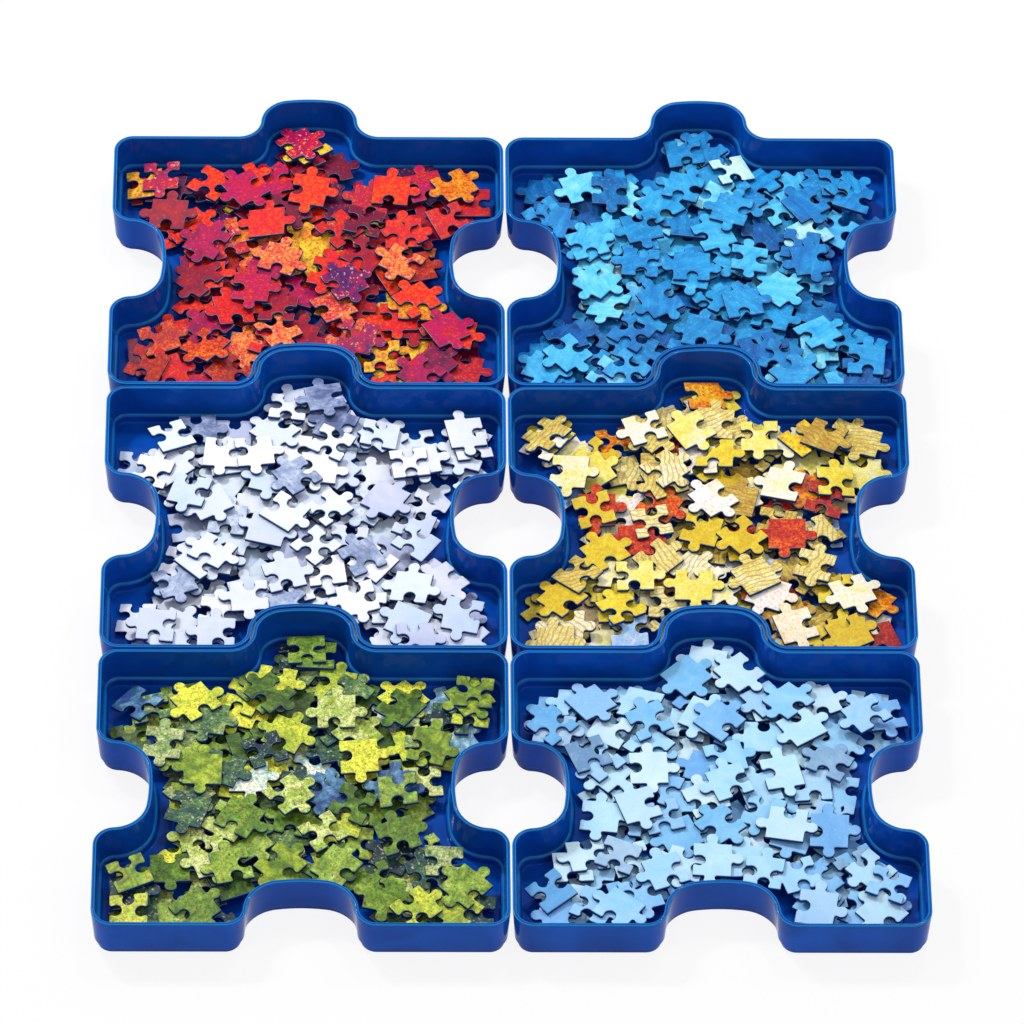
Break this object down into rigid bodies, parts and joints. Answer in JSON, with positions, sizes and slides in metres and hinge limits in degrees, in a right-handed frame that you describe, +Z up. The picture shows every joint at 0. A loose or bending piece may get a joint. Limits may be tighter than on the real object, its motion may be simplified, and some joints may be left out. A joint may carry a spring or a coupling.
{
  "type": "jigsaw puzzle storage case",
  "caption": "Interlocking blue sorting trays shaped like jigsaw pieces, laid in two columns and filled with loose jigsaw pieces sorted by colour; each tray lifts off and stacks.",
  "frame": {"origin": "on the table, under the middle of the six trays", "axes": "+X to the right, +Y to the back, where the tabs point, +Z up"},
  "size_m": [0.4006, 0.5378, 0.025],
  "materials": {
    "blue_tray": "glossy moulded",
    "red_card": "printed and varnished board",
    "crimson_card": "printed and varnished board",
    "orange_card": "printed and varnished board",
    "magenta_card": "printed and varnished board",
    "ocean_blue_card": "printed and varnished board",
    "deep_blue_card": "printed and varnished board",
    "bright_blue_card": "printed and varnished board",
    "pale_blue_card": "printed and varnished board",
    "white_card": "printed and varnished board",
    "ice_white_card": "printed and varnished board",
    "lavender_white_card": "printed and varnished board",
    "grey_white_card": "printed and varnished board",
    "yellow_card": "printed and varnished board",
    "gold_card": "printed and varnished board",
    "cream_card": "printed and varnished board",
    "olive_green_card": "printed and varnished board",
    "dark_green_card": "printed and varnished board",
    "yellow_green_card": "printed and varnished board",
    "slate_green_card": "printed and varnished board",
    "sky_blue_card": "printed and varnished board",
    "pale_sky_card": "printed and varnished board",
    "clear_blue_card": "printed and varnished board",
    "grey_blue_card": "printed and varnished board"
  },
  "bodies": {
    "back_left": {"back_left_tray": "blue_tray", "back_left_pieces_red": "red_card", "back_left_pieces_crimson": "crimson_card", "back_left_pieces_orange": "orange_card", "back_left_pieces_magenta": "magenta_card"},
    "back_right": {"back_right_tray": "blue_tray", "back_right_pieces_ocean_blue": "ocean_blue_card", "back_right_pieces_deep_blue": "deep_blue_card", "back_right_pieces_bright_blue": "bright_blue_card", "back_right_pieces_pale_blue": "pale_blue_card"},
    "middle_left": {"middle_left_tray": "blue_tray", "middle_left_pieces_white": "white_card", "middle_left_pieces_ice_white": "ice_white_card", "middle_left_pieces_lavender_white": "lavender_white_card", "middle_left_pieces_grey_white": "grey_white_card"},
    "middle_right": {"middle_right_tray": "blue_tray", "middle_right_pieces_yellow": "yellow_card", "middle_right_pieces_gold": "gold_card", "middle_right_pieces_orange": "orange_card", "middle_right_pieces_cream": "cream_card"},
    "front_left": {"front_left_tray": "blue_tray", "front_left_pieces_olive_green": "olive_green_card", "front_left_pieces_dark_green": "dark_green_card", "front_left_pieces_yellow_green": "yellow_green_card", "front_left_pieces_slate_green": "slate_green_card"},
    "front_right": {"front_right_tray": "blue_tray", "front_right_pieces_sky_blue": "sky_blue_card", "front_right_pieces_pale_sky": "pale_sky_card", "front_right_pieces_clear_blue": "clear_blue_card", "front_right_pieces_grey_blue": "grey_blue_card"}
  },
  "joints": [
    {"name": "back_left_lift", "type": "slide", "parent": "front_left", "child": "back_left", "axis": [0, 0, 1], "range_m": [0, 0.06]},
    {"name": "back_right_lift", "type": "slide", "parent": "front_left", "child": "back_right", "axis": [0, 0, 1], "range_m": [0, 0.06]},
    {"name": "middle_left_lift", "type": "slide", "parent": "front_left", "child": "middle_left", "axis": [0, 0, 1], "range_m": [0, 0.06]},
    {"name": "middle_right_lift", "type": "slide", "parent": "front_left", "child": "middle_right", "axis": [0, 0, 1], "range_m": [0, 0.06]},
    {"name": "front_right_lift", "type": "slide", "parent": "front_left", "child": "front_right", "axis": [0, 0, 1], "range_m": [0, 0.06]}
  ]
}
